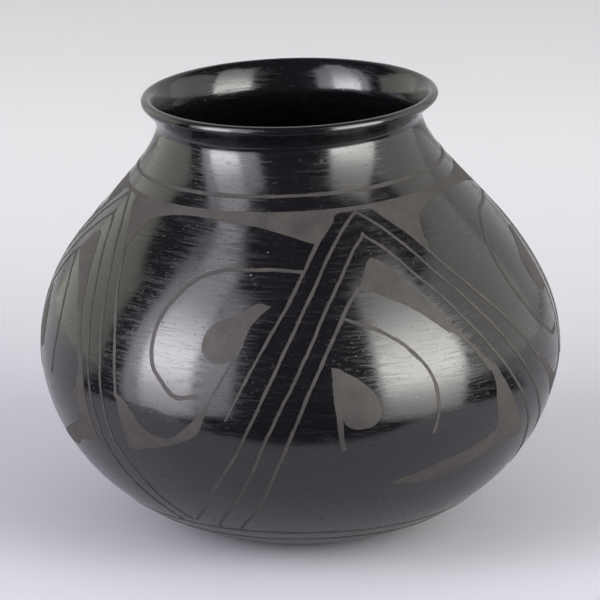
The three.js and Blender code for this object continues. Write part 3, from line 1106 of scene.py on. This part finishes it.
            faces.append(tuple(int(welded[i]) for i in (a, a + total, b + total, b)))
            normals.extend([side] * 4)
        used = sorted({i for face in faces for i in face})
        number = {old: new for new, old in enumerate(used)}
        faces = [tuple(number[i] for i in face) for face in faces]
        name = node.replace("slip_", "painted_")
        piece = mesh_piece(name, verts[used], faces, np.array(normals), self.material)
        settle_piece(piece, node)

    def lay_ring(self, node: str, height: float, width: float, seed: int) -> None:
        """Lay a fine line all round the pot.

        Args:
            node: CAD node that the line stands for.
            height: Height of the line's middle.
            width: The brush's width in millimetres.
            seed: Number that picks the hand's waver.
        """
        random = np.random.default_rng(seed)
        degrees = np.linspace(0, 360, self.ring_corners)
        angle = np.radians(degrees)
        drift = np.zeros(len(degrees))
        swell = np.zeros(len(degrees))
        for turns in self.ring_waves:
            drift += random.uniform(*self.ring_drift) / turns ** 0.5 * np.sin(
                turns * angle + random.uniform(0, 6)
            )
            swell += self.ring_swell * np.sin((turns + 3) * angle + random.uniform(0, 6))
        rise = np.maximum(self.wall.normal(np.array(height))[0], self.flattest_slope)
        half = width / 2 * (1 + swell) * rise
        low = np.stack((degrees, height + drift - half), axis=1)
        high = np.stack((degrees, height + drift + half), axis=1)
        self.lay(node, np.vstack([low, high[::-1]]), Proud.LINE, whole_turn=True)


@dataclass
class PaintedDesign:
    """The painted design: rings, a shoulder band with gussets, and four repeats below it.

    Pairs of a line are (height, degrees from the peak). Pairs of a shape are (share of the way
    across its panel or chevron, height).
    """

    brush: Brush
    fine: float = 1.6
    bold: float = 2.0
    overlap: float = 0.5
    band_top: float = 160.6
    band_bottom: float = 158.8
    neck_ring: float = 166.2
    foot_rings: tuple[float, float] = (19.0, 13.5)
    band_corners: int = 13
    gusset_right: tuple[float, ...] = (156.5, 154, 151.5, 149, 146.5, 144, 142, 140.6)
    gusset_left: tuple[float, ...] = (149, 150.5, 152, 154, 156)
    outer_apex: float = 158.6
    inner_apex: float = 151.0
    apex_lap: float = 1.5
    wedge_line_top: float = 132.0
    edge_left_span: tuple[float, float] = (149.5, 79.3)
    edge_right_span: tuple[float, float] = (142.0, 82.0)
    meeting_top: float = 75.0
    meeting_step: float = 0.5
    ring_seeds: tuple[int, int, int] = (11, 12, 13)
    repeat_seed: int = 100
    fill_seed: int = 20
    # tag, degrees of the peak, spread to the left and right, lift of the panel and chevron
    repeats: tuple[Repeat, ...] = (
        Repeat("front", 22.0, 0.0, 0.33, 7.0, 0.0),
        Repeat("right", 116.0, -0.3, -0.3, 4.0, 3.0),
        Repeat("back", 201.0, -0.3, -0.3, 3.0, 5.0),
        Repeat("left", 286.0, -0.3, -0.25, 0.0, 9.0),
    )
    edge_line: Pairs = (
        (158.8, 6.6), (152, 12), (148, 15), (139.8, 19), (126, 24.5), (112, 29.5), (94, 34.5),
        (79.3, 38), (62, 43),
    )
    outer_line: Pairs = (
        (158.5, 0.5), (151.6, 7), (144, 12), (133.3, 17), (120, 22), (102.5, 27), (80.7, 32),
        (62, 36.5), (45, 42.5), (29.5, 49), (20.5, 55.5),
    )
    inner_line: Pairs = (
        (150, 0), (145.3, 4.5), (136.5, 9.5), (126, 14.5), (110.8, 19.5), (92, 24.5),
        (70.5, 29.5), (52, 33.5), (37, 38.5), (20.7, 47),
    )
    wedge_line: Pairs = (
        (142, 0.6), (132.5, 5.5), (125.7, 9.5), (112.8, 14.5), (95, 19.5), (70, 24.5),
        (53, 28), (34, 33), (20.5, 40),
    )
    panel_top: Pairs = (
        (0, 140.5), (0.03, 143), (0.065, 147), (0.14, 152), (0.21, 155), (0.32, 157),
        (0.45, 157.5), (0.58, 156.5), (0.71, 154.9), (0.865, 151.5), (1, 148.4),
    )
    panel_hook: Pairs = (
        (1.0, 139.0), (0.88, 139.8), (0.75, 139.8), (0.605, 139), (0.48, 134.3), (0.367, 124),
        (0.305, 112), (0.32, 100), (0.426, 92), (0.52, 87.6), (0.6, 87.2), (0.7, 88.7),
    )
    panel_drop: Pairs = (
        (0.92, 126.6), (0.877, 121), (0.87, 115), (0.878, 109), (0.855, 98), (0.825, 84),
        (0.797, 84), (0.835, 98), (0.85, 104.3), (0.76, 103.2), (0.68, 105.5), (0.629, 110.5),
        (0.649, 117.5), (0.735, 121.8), (0.806, 125.2), (0.85, 127.4),
    )
    panel_fin: Pairs = (
        (0, 83.5), (0.06, 82), (0.13, 78.5), (0.2, 73.5), (0.32, 69), (0.48, 67.5), (0.6, 69),
        (0.7, 74.5), (0.76, 80), (0.798, 86), (0.828, 86), (0.825, 79), (0.81, 71), (0.6, 65),
        (0.3, 61), (0, 57.5),
    )
    chevron_arc: Pairs = (
        (0, 121.5), (0.187, 119), (0.32, 117), (0.438, 113.8), (0.53, 110), (0.588, 105.5),
        (0.633, 100), (0.648, 93.5), (0.641, 86), (0.618, 78), (0.585, 70.5),
    )
    chevron_drop: Pairs = (
        (0.06, 102.8), (0.107, 102.4), (0.157, 100.5), (0.23, 97.5), (0.283, 94.5),
        (0.328, 91), (0.357, 85), (0.35, 80), (0.315, 76.6), (0.264, 75.8), (0.215, 77.5),
        (0.19, 80.5), (0.205, 74), (0.232, 66), (0.212, 66), (0.18, 75), (0.15, 84),
        (0.112, 93),
    )
    chevron_fin: Pairs = (
        (1.01, 95), (1.0, 90), (0.975, 84), (0.945, 78.5), (0.915, 70), (0.88, 63.6),
        (0.741, 58.9), (0.606, 54.7), (0.5, 51), (0.43, 48.4), (0.43, 47), (0.529, 46),
        (0.668, 47.6), (0.746, 51.2), (0.838, 54), (0.934, 55.2), (1.049, 56.2), (1.05, 62),
        (1.05, 77), (1.055, 88), (1.062, 95),
    )
    wedge: Pairs = (
        (0, 142.2), (3, 139.8), (7.9, 131), (12.2, 120.5), (16.4, 108), (21.8, 92.5),
        (19.7, 92.5), (16.9, 103.5), (14.4, 110), (12.5, 112), (9.7, 117.3), (5.2, 123.6),
        (-2, 130), (-5.5, 132), (-2, 139.8),
    )

    def following(self, index: int) -> Repeat:
        """Return the repeat to the right of one, its peak counted on past a whole turn.

        Args:
            index: Number of the repeat.

        Returns:
            The next repeat.
        """
        after = self.repeats[(index + 1) % len(self.repeats)]
        turn = 360.0 if after.peak < self.repeats[index].peak else 0.0
        return replace(after, peak=after.peak + turn)

    def line_degrees(
        self, repeat: Repeat, side: Side, line: Pairs, height: np.ndarray,
    ) -> np.ndarray:
        """Return degrees round the pot of a line at heights."""
        return repeat.arm(side, curve_value(line, height), height)

    def between(
        self, left: tuple[Repeat, Side], right: tuple[Repeat, Side], line: Pairs, shape: Pairs,
        lift: float,
    ) -> np.ndarray:
        """Return a shape's points between two falls of a line, just lapping onto each.

        Args:
            left: Repeat and side of the fall on the left.
            right: Repeat and side of the fall on the right.
            line: The line's pairs.
            shape: The shape's pairs.
            lift: How much higher the shape lies here.

        Returns:
            Points of (degrees, height).
        """
        share, height = np.array(shape, float).T
        height = height + lift
        lap = np.degrees((self.fine / 2 - self.overlap) / self.brush.wall.radius(height))
        low = self.line_degrees(*left, line, height) + lap
        high = self.line_degrees(*right, line, height) - lap
        return np.stack((low + (high - low) * share, height), axis=1)

    def in_panel(self, index: int, shape: Pairs, lift: float) -> np.ndarray:
        """Return a shape's points in the panel to the right of a repeat."""
        left = (self.repeats[index], Side.RIGHT)
        return self.between(left, (self.following(index), Side.LEFT), self.edge_line, shape, lift)

    def in_chevron(self, repeat: Repeat, shape: Pairs, lift: float) -> np.ndarray:
        """Return a shape's points inside a repeat's chevron."""
        left = (repeat, Side.LEFT)
        return self.between(left, (repeat, Side.RIGHT), self.wedge_line, shape, lift)

    def falling(
        self, repeat: Repeat, side: Side, line: Pairs, top: float, foot: float,
    ) -> np.ndarray:
        """Return points down one side of a line."""
        height = even_steps(top, foot, self.brush.edge_step)
        return np.stack((self.line_degrees(repeat, side, line, height), height), axis=1)

    def foot_of(self, index: int, side: Side, line: Pairs) -> float:
        """Return the height where a falling line ends: the foot ring or the next repeat's line.

        Args:
            index: Number of the repeat.
            side: Side of the peak that the line falls on.
            line: The line's pairs.

        Returns:
            Height of the line's foot.
        """
        repeat = self.repeats[index]
        other, away = self.following(index), Side.LEFT
        if side is Side.LEFT:
            before = self.repeats[index - 1]
            turn = 360.0 if before.peak > repeat.peak else 0.0
            other, away = replace(before, peak=before.peak - turn), Side.RIGHT
        height = even_steps(self.foot_rings[0], self.meeting_top, self.meeting_step)
        own = self.line_degrees(repeat, side, line, height)
        theirs = self.line_degrees(other, away, self.outer_line, height)
        gap = side.value * (theirs - own)
        clear = height[gap > np.degrees(self.fine / self.brush.wall.radius(height))]
        return float(clear[0]) if len(clear) else self.meeting_top

    def bent_line(self, index: int, line: Pairs, apex: float) -> np.ndarray:
        """Return the path of a line that falls on both sides of its peak.

        Args:
            index: Number of the repeat.
            line: The line's pairs.
            apex: Height of its corner.

        Returns:
            Points of (degrees, height).
        """
        repeat = self.repeats[index]
        left, right = (
            self.falling(repeat, side, line, apex - self.apex_lap, self.foot_of(index, side, line))
            for side in Side
        )
        return np.vstack([left[::-1], [(repeat.peak, apex)], right])

    def shoulder_band(self) -> None:
        """Lay the shoulder band with its gussets between the peaks."""
        lower: list[np.ndarray] = []
        for index, repeat in enumerate(self.repeats):
            after = self.following(index)
            right = np.array([self.band_bottom, *self.gusset_right])
            left = np.array([*self.gusset_left, self.band_bottom])
            right_degrees = self.line_degrees(repeat, Side.RIGHT, self.edge_line, right)
            left_degrees = self.line_degrees(after, Side.LEFT, self.edge_line, left)
            right_degrees -= np.degrees(self.fine / 2 / self.brush.wall.radius(right))
            left_degrees += np.degrees(self.fine / 2 / self.brush.wall.radius(left))
            lower.append(np.stack((right_degrees, right), axis=1))
            lower.append(self.in_panel(index, self.panel_top, 0.0)[1:])
            lower.append(np.stack((left_degrees, left), axis=1))
        lower.append(lower[0][:1] + (360.0, 0.0))
        start = lower[0][0, 0]
        top_degrees = np.linspace(start + 360.0, start, self.band_corners)
        top = np.stack((top_degrees, np.full(self.band_corners, self.band_top)), axis=1)
        outline = self.brush.flowing(np.vstack([*lower, top]))
        self.brush.lay("slip_shoulder_band", outline, Proud.FILL, whole_turn=True)

    def fills(self, index: int) -> dict[str, np.ndarray]:
        """Return the filled shapes of a repeat.

        Args:
            index: Number of the repeat.

        Returns:
            Points of (degrees, height) round each shape.
        """
        repeat = self.repeats[index]
        offset, height = np.array(self.wedge, float).T
        left, right = (repeat.arm(side, side.value * offset, height) for side in Side)
        wedge = np.stack((np.where(offset < 0, left, right), height), axis=1)
        return {
            "wedge": wedge,
            "panel_drop": self.in_panel(index, self.panel_drop, repeat.panel_lift),
            "panel_fin": self.in_panel(index, self.panel_fin, repeat.panel_lift),
            "chevron_drop": self.in_chevron(repeat, self.chevron_drop, repeat.chevron_lift),
            "chevron_fin": self.in_chevron(repeat, self.chevron_fin, 0.0),
        }

    def strokes(self, index: int) -> dict[str, tuple[Proud, np.ndarray, float, float, float]]:
        """Return each stroke of a repeat.

        Args:
            index: Number of the repeat.

        Returns:
            How far each stroke stands off, its path, the brush's width, and the shares of that
            width where the stroke starts and ends.
        """
        repeat = self.repeats[index]
        fine, bold = self.fine, self.bold
        foot = self.foot_of(index, Side.LEFT, self.wedge_line)
        top, bottom = self.edge_right_span
        paths = {
            "outer": self.bent_line(index, self.outer_line, self.outer_apex),
            "inner": self.bent_line(index, self.inner_line, self.inner_apex),
            "wedge": self.falling(repeat, Side.LEFT, self.wedge_line, self.wedge_line_top, foot),
            "left": self.falling(repeat, Side.LEFT, self.edge_line, *self.edge_left_span),
            "right": self.falling(
                repeat, Side.RIGHT, self.edge_line, top, bottom + repeat.panel_lift,
            ),
            "hook": self.in_panel(index, self.panel_hook, repeat.panel_lift),
            "arc": self.in_chevron(repeat, self.chevron_arc, repeat.chevron_lift),
        }
        return {
            "chevron_outer": (Proud.LINE, paths["outer"], fine, 0.85, 0.85),
            "chevron_inner": (Proud.LINE, paths["inner"], fine, 0.85, 0.85),
            "wedge_line": (Proud.LINE, paths["wedge"], fine, 1.0, 0.8),
            "edge_line_left": (Proud.LINE, paths["left"], fine, 1.0, 0.6),
            "edge_line_right": (Proud.LINE, paths["right"], fine, 1.0, 1.0),
            "panel_hook": (Proud.CURL, self.brush.along(paths["hook"]), bold, 0.75, 1.0),
            "chevron_arc": (Proud.CURL, self.brush.along(paths["arc"]), bold, 0.75, 0.8),
        }

    def build_repeat(self, index: int) -> None:
        """Lay every fill and stroke of one repeat.

        Args:
            index: Number of the repeat.
        """
        brush = self.brush
        tag = self.repeats[index].tag
        seed = self.repeat_seed * (index + 1)
        for place, (kind, corners) in enumerate(self.fills(index).items()):
            outline = brush.wavered(brush.flowing(corners), seed + self.fill_seed + place)
            brush.lay(f"slip_{kind}_{tag}", outline, Proud.FILL)
        for place, (kind, (proud, *stroke)) in enumerate(self.strokes(index).items()):
            outline = brush.wavered(brush.stroke(*stroke), seed + 1 + place)
            brush.lay(f"slip_{kind}_{tag}", outline, proud)

    def build(self) -> None:
        """Lay the whole design."""
        rings = {
            "slip_neck_ring": self.neck_ring,
            "slip_foot_ring_upper": self.foot_rings[0],
            "slip_foot_ring_lower": self.foot_rings[1],
        }
        for (node, height), seed in zip(rings.items(), self.ring_seeds):
            self.brush.lay_ring(node, height, self.fine, seed)
        self.shoulder_band()
        for index in range(len(self.repeats)):
            self.build_repeat(index)


# ------------------------------------------------------------------------------ the studio
@dataclass(frozen=True)
class GlowCard:
    """An upright card that lights the pot softly, like a window with a sheer blind.

    It glows evenly, with a brighter stretch at one height and edges that fade out.
    """

    name: str
    azimuth: float
    distance: float
    width: float
    low: float
    high: float
    colour: str
    strength: float
    bright: float = 0.0
    bright_height: float = 0.3
    reach_below: float = 0.3
    reach_above: float = 0.6
    fade: float = 0.07
    cells: int = 40

    def glow(self, across: np.ndarray, height: np.ndarray) -> np.ndarray:
        """Return how strongly the card glows.

        Args:
            across: Distances from the card's middle in metres.
            height: Heights in metres.

        Returns:
            Strengths.
        """
        away = height - self.bright_height
        reach = np.where(away < 0, self.reach_below, self.reach_above)
        swell = np.exp(-((away / reach) ** 2))
        edge = smooth((self.width / 2 - np.abs(across)) / self.fade)
        end = smooth((height - self.low) / self.fade) * smooth((self.high - height) / self.fade)
        return (self.strength + self.bright * swell) * edge * end

    def build(self) -> None:
        """Build the card, facing the pot and unseen by the camera."""
        angle = math.radians(self.azimuth)
        side, height = np.meshgrid(
            np.linspace(-self.width / 2, self.width / 2, self.cells + 1),
            np.linspace(self.low, self.high, self.cells + 1),
        )
        side, height = side.ravel(), height.ravel()
        verts = np.stack((
            math.sin(angle) * self.distance + math.cos(angle) * side,
            -math.cos(angle) * self.distance + math.sin(angle) * side,
            height,
        ), axis=1)
        row = self.cells + 1
        faces = [
            (i, i + row, i + row + 1, i + 1)
            for i in range(self.cells * row) if i % row < self.cells
        ]
        mesh = bpy.data.meshes.new(self.name)
        mesh.from_pydata(verts.tolist(), [], faces)
        strength = mesh.attributes.new("glow", "FLOAT", "POINT")
        strength.data.foreach_set("value", self.glow(side, height))
        material = new_material(self.name)
        tree = material.node_tree
        read = add_node(tree, "ShaderNodeAttribute", {"attribute_name": "glow"})
        glow = add_node(
            tree, "ShaderNodeEmission", links={"Strength": read.outputs["Fac"]},
            values={"Color": linear(self.colour)},
        )
        add_node(tree, "ShaderNodeOutputMaterial", links={"Surface": glow})
        mesh.materials.append(material)
        card = put_in_scene(self.name, mesh)
        card.visible_camera = False


@dataclass(frozen=True)
class SoftLight:
    """A round soft light that isn't mirrored in the pot."""

    name: str
    place: tuple[float, float, float]
    size: float
    watts: float

    def build(self, target: Vector) -> None:
        """Hang the light so that it faces a point.

        Args:
            target: Place that it faces, in metres.
        """
        light = bpy.data.lights.new(self.name, "AREA")
        light.shape = "DISK"
        light.size = self.size
        light.energy = self.watts
        lamp = put_in_scene(self.name, light)
        lamp.location = self.place
        towards = target - Vector(self.place)
        lamp.rotation_euler = towards.to_track_quat("-Z", "Y").to_euler()
        lamp.visible_glossy = False


@dataclass
class Studio:
    """Plain pale table, soft window light from both sides of the front, and the camera."""

    table_colour: str = "#b2b1b8"
    # painted light: the table's back part is painted this paler colour for the brighter light
    # there
    painted_light_far_colour: str = "#dddcde"
    backdrop_colour: str = "#e4e3e4"
    shade_colour: str = "#b4b4b8"
    room_colour: str = "#1a1b1f"
    mirrored_front: float = -0.19
    mirrored_back: float = 0.06
    mirrored_side: float = 0.3
    painted_light_start: float = 0.05
    painted_light_end: float = 0.75
    table_reach: float = 9.0
    lens: float = 325.5
    sensor: float = 36.0
    camera_distance: float = 2.4
    camera_elevation: float = 16.03
    target_height: float = 0.1009
    table_roughness: float = 0.85
    pale_walls: tuple[float, float] = (0.3, 0.6)
    # name, degrees from the front, distance, width, low and high edge, colour, strength,
    # then the bright stretch: its strength, its height and its reach below and above
    cards: tuple[GlowCard, ...] = (
        GlowCard(
            "window_left", -58.0, 1.15, 0.60, -0.38, 2.1, "#f7f4fc", 3.8, 10.2, 0.36, 0.34, 0.52,
        ),
        GlowCard("sheer_left", -54.0, 1.25, 1.27, -0.34, 1.75, "#f1f1fb", 2.9, 0.9, 0.4),
        GlowCard("window_right", 54.0, 1.15, 0.90, -0.42, 1.8, "#fbfaf6", 2.8, 9.6, 0.27, 0.27),
        GlowCard("side_left", -119.0, 1.5, 1.5, -0.1, 1.2, "#dbdccf", 1.75),
        GlowCard("side_right", 103.0, 1.5, 1.56, -0.1, 1.6, "#dadad5", 1.8),
    )
    # one wide light overhead and three low ones that fill the shade at the foot
    lights: tuple[SoftLight, ...] = (
        SoftLight("overhead_fill", (0.0, 0.1, 2.2), 2.4, 6.0),
        SoftLight("low_fill_left", (-1.3, -1.0, 0.3), 0.9, 5.5),
        SoftLight("low_fill_front", (0.0, -1.7, 0.3), 0.9, 4.5),
        SoftLight("low_fill_right", (1.3, -1.0, 0.3), 0.9, 4.0),
    )

    def tables(self) -> None:
        """Build the table top, whose front and side parts the polish doesn't mirror. Its colour is
        painted paler towards the back: painted light, for the brighter light there.
        """
        material = new_material("pale_table")
        tree = material.node_tree
        where = add_node(
            tree, "ShaderNodeSeparateXYZ",
            links={"Vector": add_node(tree, "ShaderNodeTexCoord").outputs["Object"]},
        )
        # painted light: the table's colour grows paler from front to back, for the brighter light
        # there
        curve = add_node(
            tree, "ShaderNodeMapRange", {"interpolation_type": "SMOOTHSTEP"},
            links={"Value": where.outputs["Y"]},
            values={"From Min": self.painted_light_start, "From Max": self.painted_light_end},
        )
        table_and_painted_light = add_node(
            tree, "ShaderNodeMix", {"data_type": "RGBA"}, links={"Factor": curve},
            values={"A": linear(self.table_colour), "B": linear(self.painted_light_far_colour)},
        )
        surface = add_node(
            tree, "ShaderNodeBsdfPrincipled", links={"Base Color": table_and_painted_light},
            values={"Roughness": self.table_roughness},
        )
        add_node(tree, "ShaderNodeOutputMaterial", links={"Surface": surface})
        reach = self.table_reach
        front, back, side = self.mirrored_front, self.mirrored_back, self.mirrored_side
        spans = {
            "table_under": (-side, side, front, back, True),
            "table_back": (-reach, reach, back, reach, True),
            "table_front": (-reach, reach, -reach, front, False),
            "table_left": (-reach, -side, front, back, False),
            "table_right": (side, reach, front, back, False),
        }
        for name, (left, right, near, far, mirrored) in spans.items():
            mesh = bpy.data.meshes.new(name)
            corners = [(left, near, 0), (right, near, 0), (right, far, 0), (left, far, 0)]
            mesh.from_pydata(corners, [], [(0, 1, 2, 3)])
            mesh.materials.append(material)
            table = put_in_scene(name, mesh)
            table.visible_glossy = mirrored

    def room(self) -> None:
        """Light the room: dark to the front, pale behind, and a plain pale backdrop."""
        world = bpy.data.worlds.new("studio")
        world.use_nodes = True
        tree = world.node_tree
        tree.nodes.clear()
        way = add_node(
            tree, "ShaderNodeSeparateXYZ",
            links={"Vector": add_node(tree, "ShaderNodeTexCoord").outputs["Generated"]},
        )
        behind = add_node(
            tree, "ShaderNodeMapRange", {"interpolation_type": "SMOOTHSTEP"},
            links={"Value": way.outputs["Y"]},
            values={"From Min": self.pale_walls[0], "From Max": self.pale_walls[1]},
        )
        walls = add_node(
            tree, "ShaderNodeMix", {"data_type": "RGBA"}, links={"Factor": behind},
            values={"A": linear(self.room_colour), "B": linear(self.backdrop_colour)},
        )
        ray = add_node(tree, "ShaderNodeLightPath")
        soft = add_node(
            tree, "ShaderNodeMix", {"data_type": "RGBA"},
            links={"Factor": ray.outputs["Is Glossy Ray"], "B": walls},
            values={"A": linear(self.shade_colour)},
        )
        seen = add_node(
            tree, "ShaderNodeMix", {"data_type": "RGBA"},
            links={"Factor": ray.outputs["Is Camera Ray"], "A": soft},
            values={"B": linear(self.backdrop_colour)},
        )
        sky = add_node(tree, "ShaderNodeBackground", links={"Color": seen})
        add_node(tree, "ShaderNodeOutputWorld", links={"Surface": sky})
        bpy.context.scene.world = world

    def camera(self) -> None:
        """Place the camera and make it the scene's."""
        data = bpy.data.cameras.new("camera")
        data.lens = self.lens
        data.sensor_width = self.sensor
        camera = put_in_scene("camera", data)
        tilt = math.radians(self.camera_elevation)
        target = Vector((0, 0, self.target_height))
        back = Vector((0, -math.cos(tilt), math.sin(tilt)))
        camera.location = target + back * self.camera_distance
        camera.rotation_euler = (-back).to_track_quat("-Z", "Y").to_euler()
        bpy.context.scene.camera = camera

    def build(self) -> None:
        """Build the whole studio."""
        self.camera()
        self.tables()
        self.room()
        for light in self.lights:
            light.build(Vector((0, 0, self.target_height)))
        for card in self.cards:
            card.build()
        bpy.context.scene.view_settings.view_transform = "Standard"


def main() -> None:
    """Build the pot and its studio."""
    logging.basicConfig(level=logging.INFO, format="%(name)s %(message)s")
    clay = BurnishedClay().build()
    slip = MatteSlip().build()
    wall = PotWall()
    ClayBody(wall).build(clay)
    PaintedDesign(Brush(wall, slip)).build()
    Studio().build()


if __name__ == "__main__":
    main()
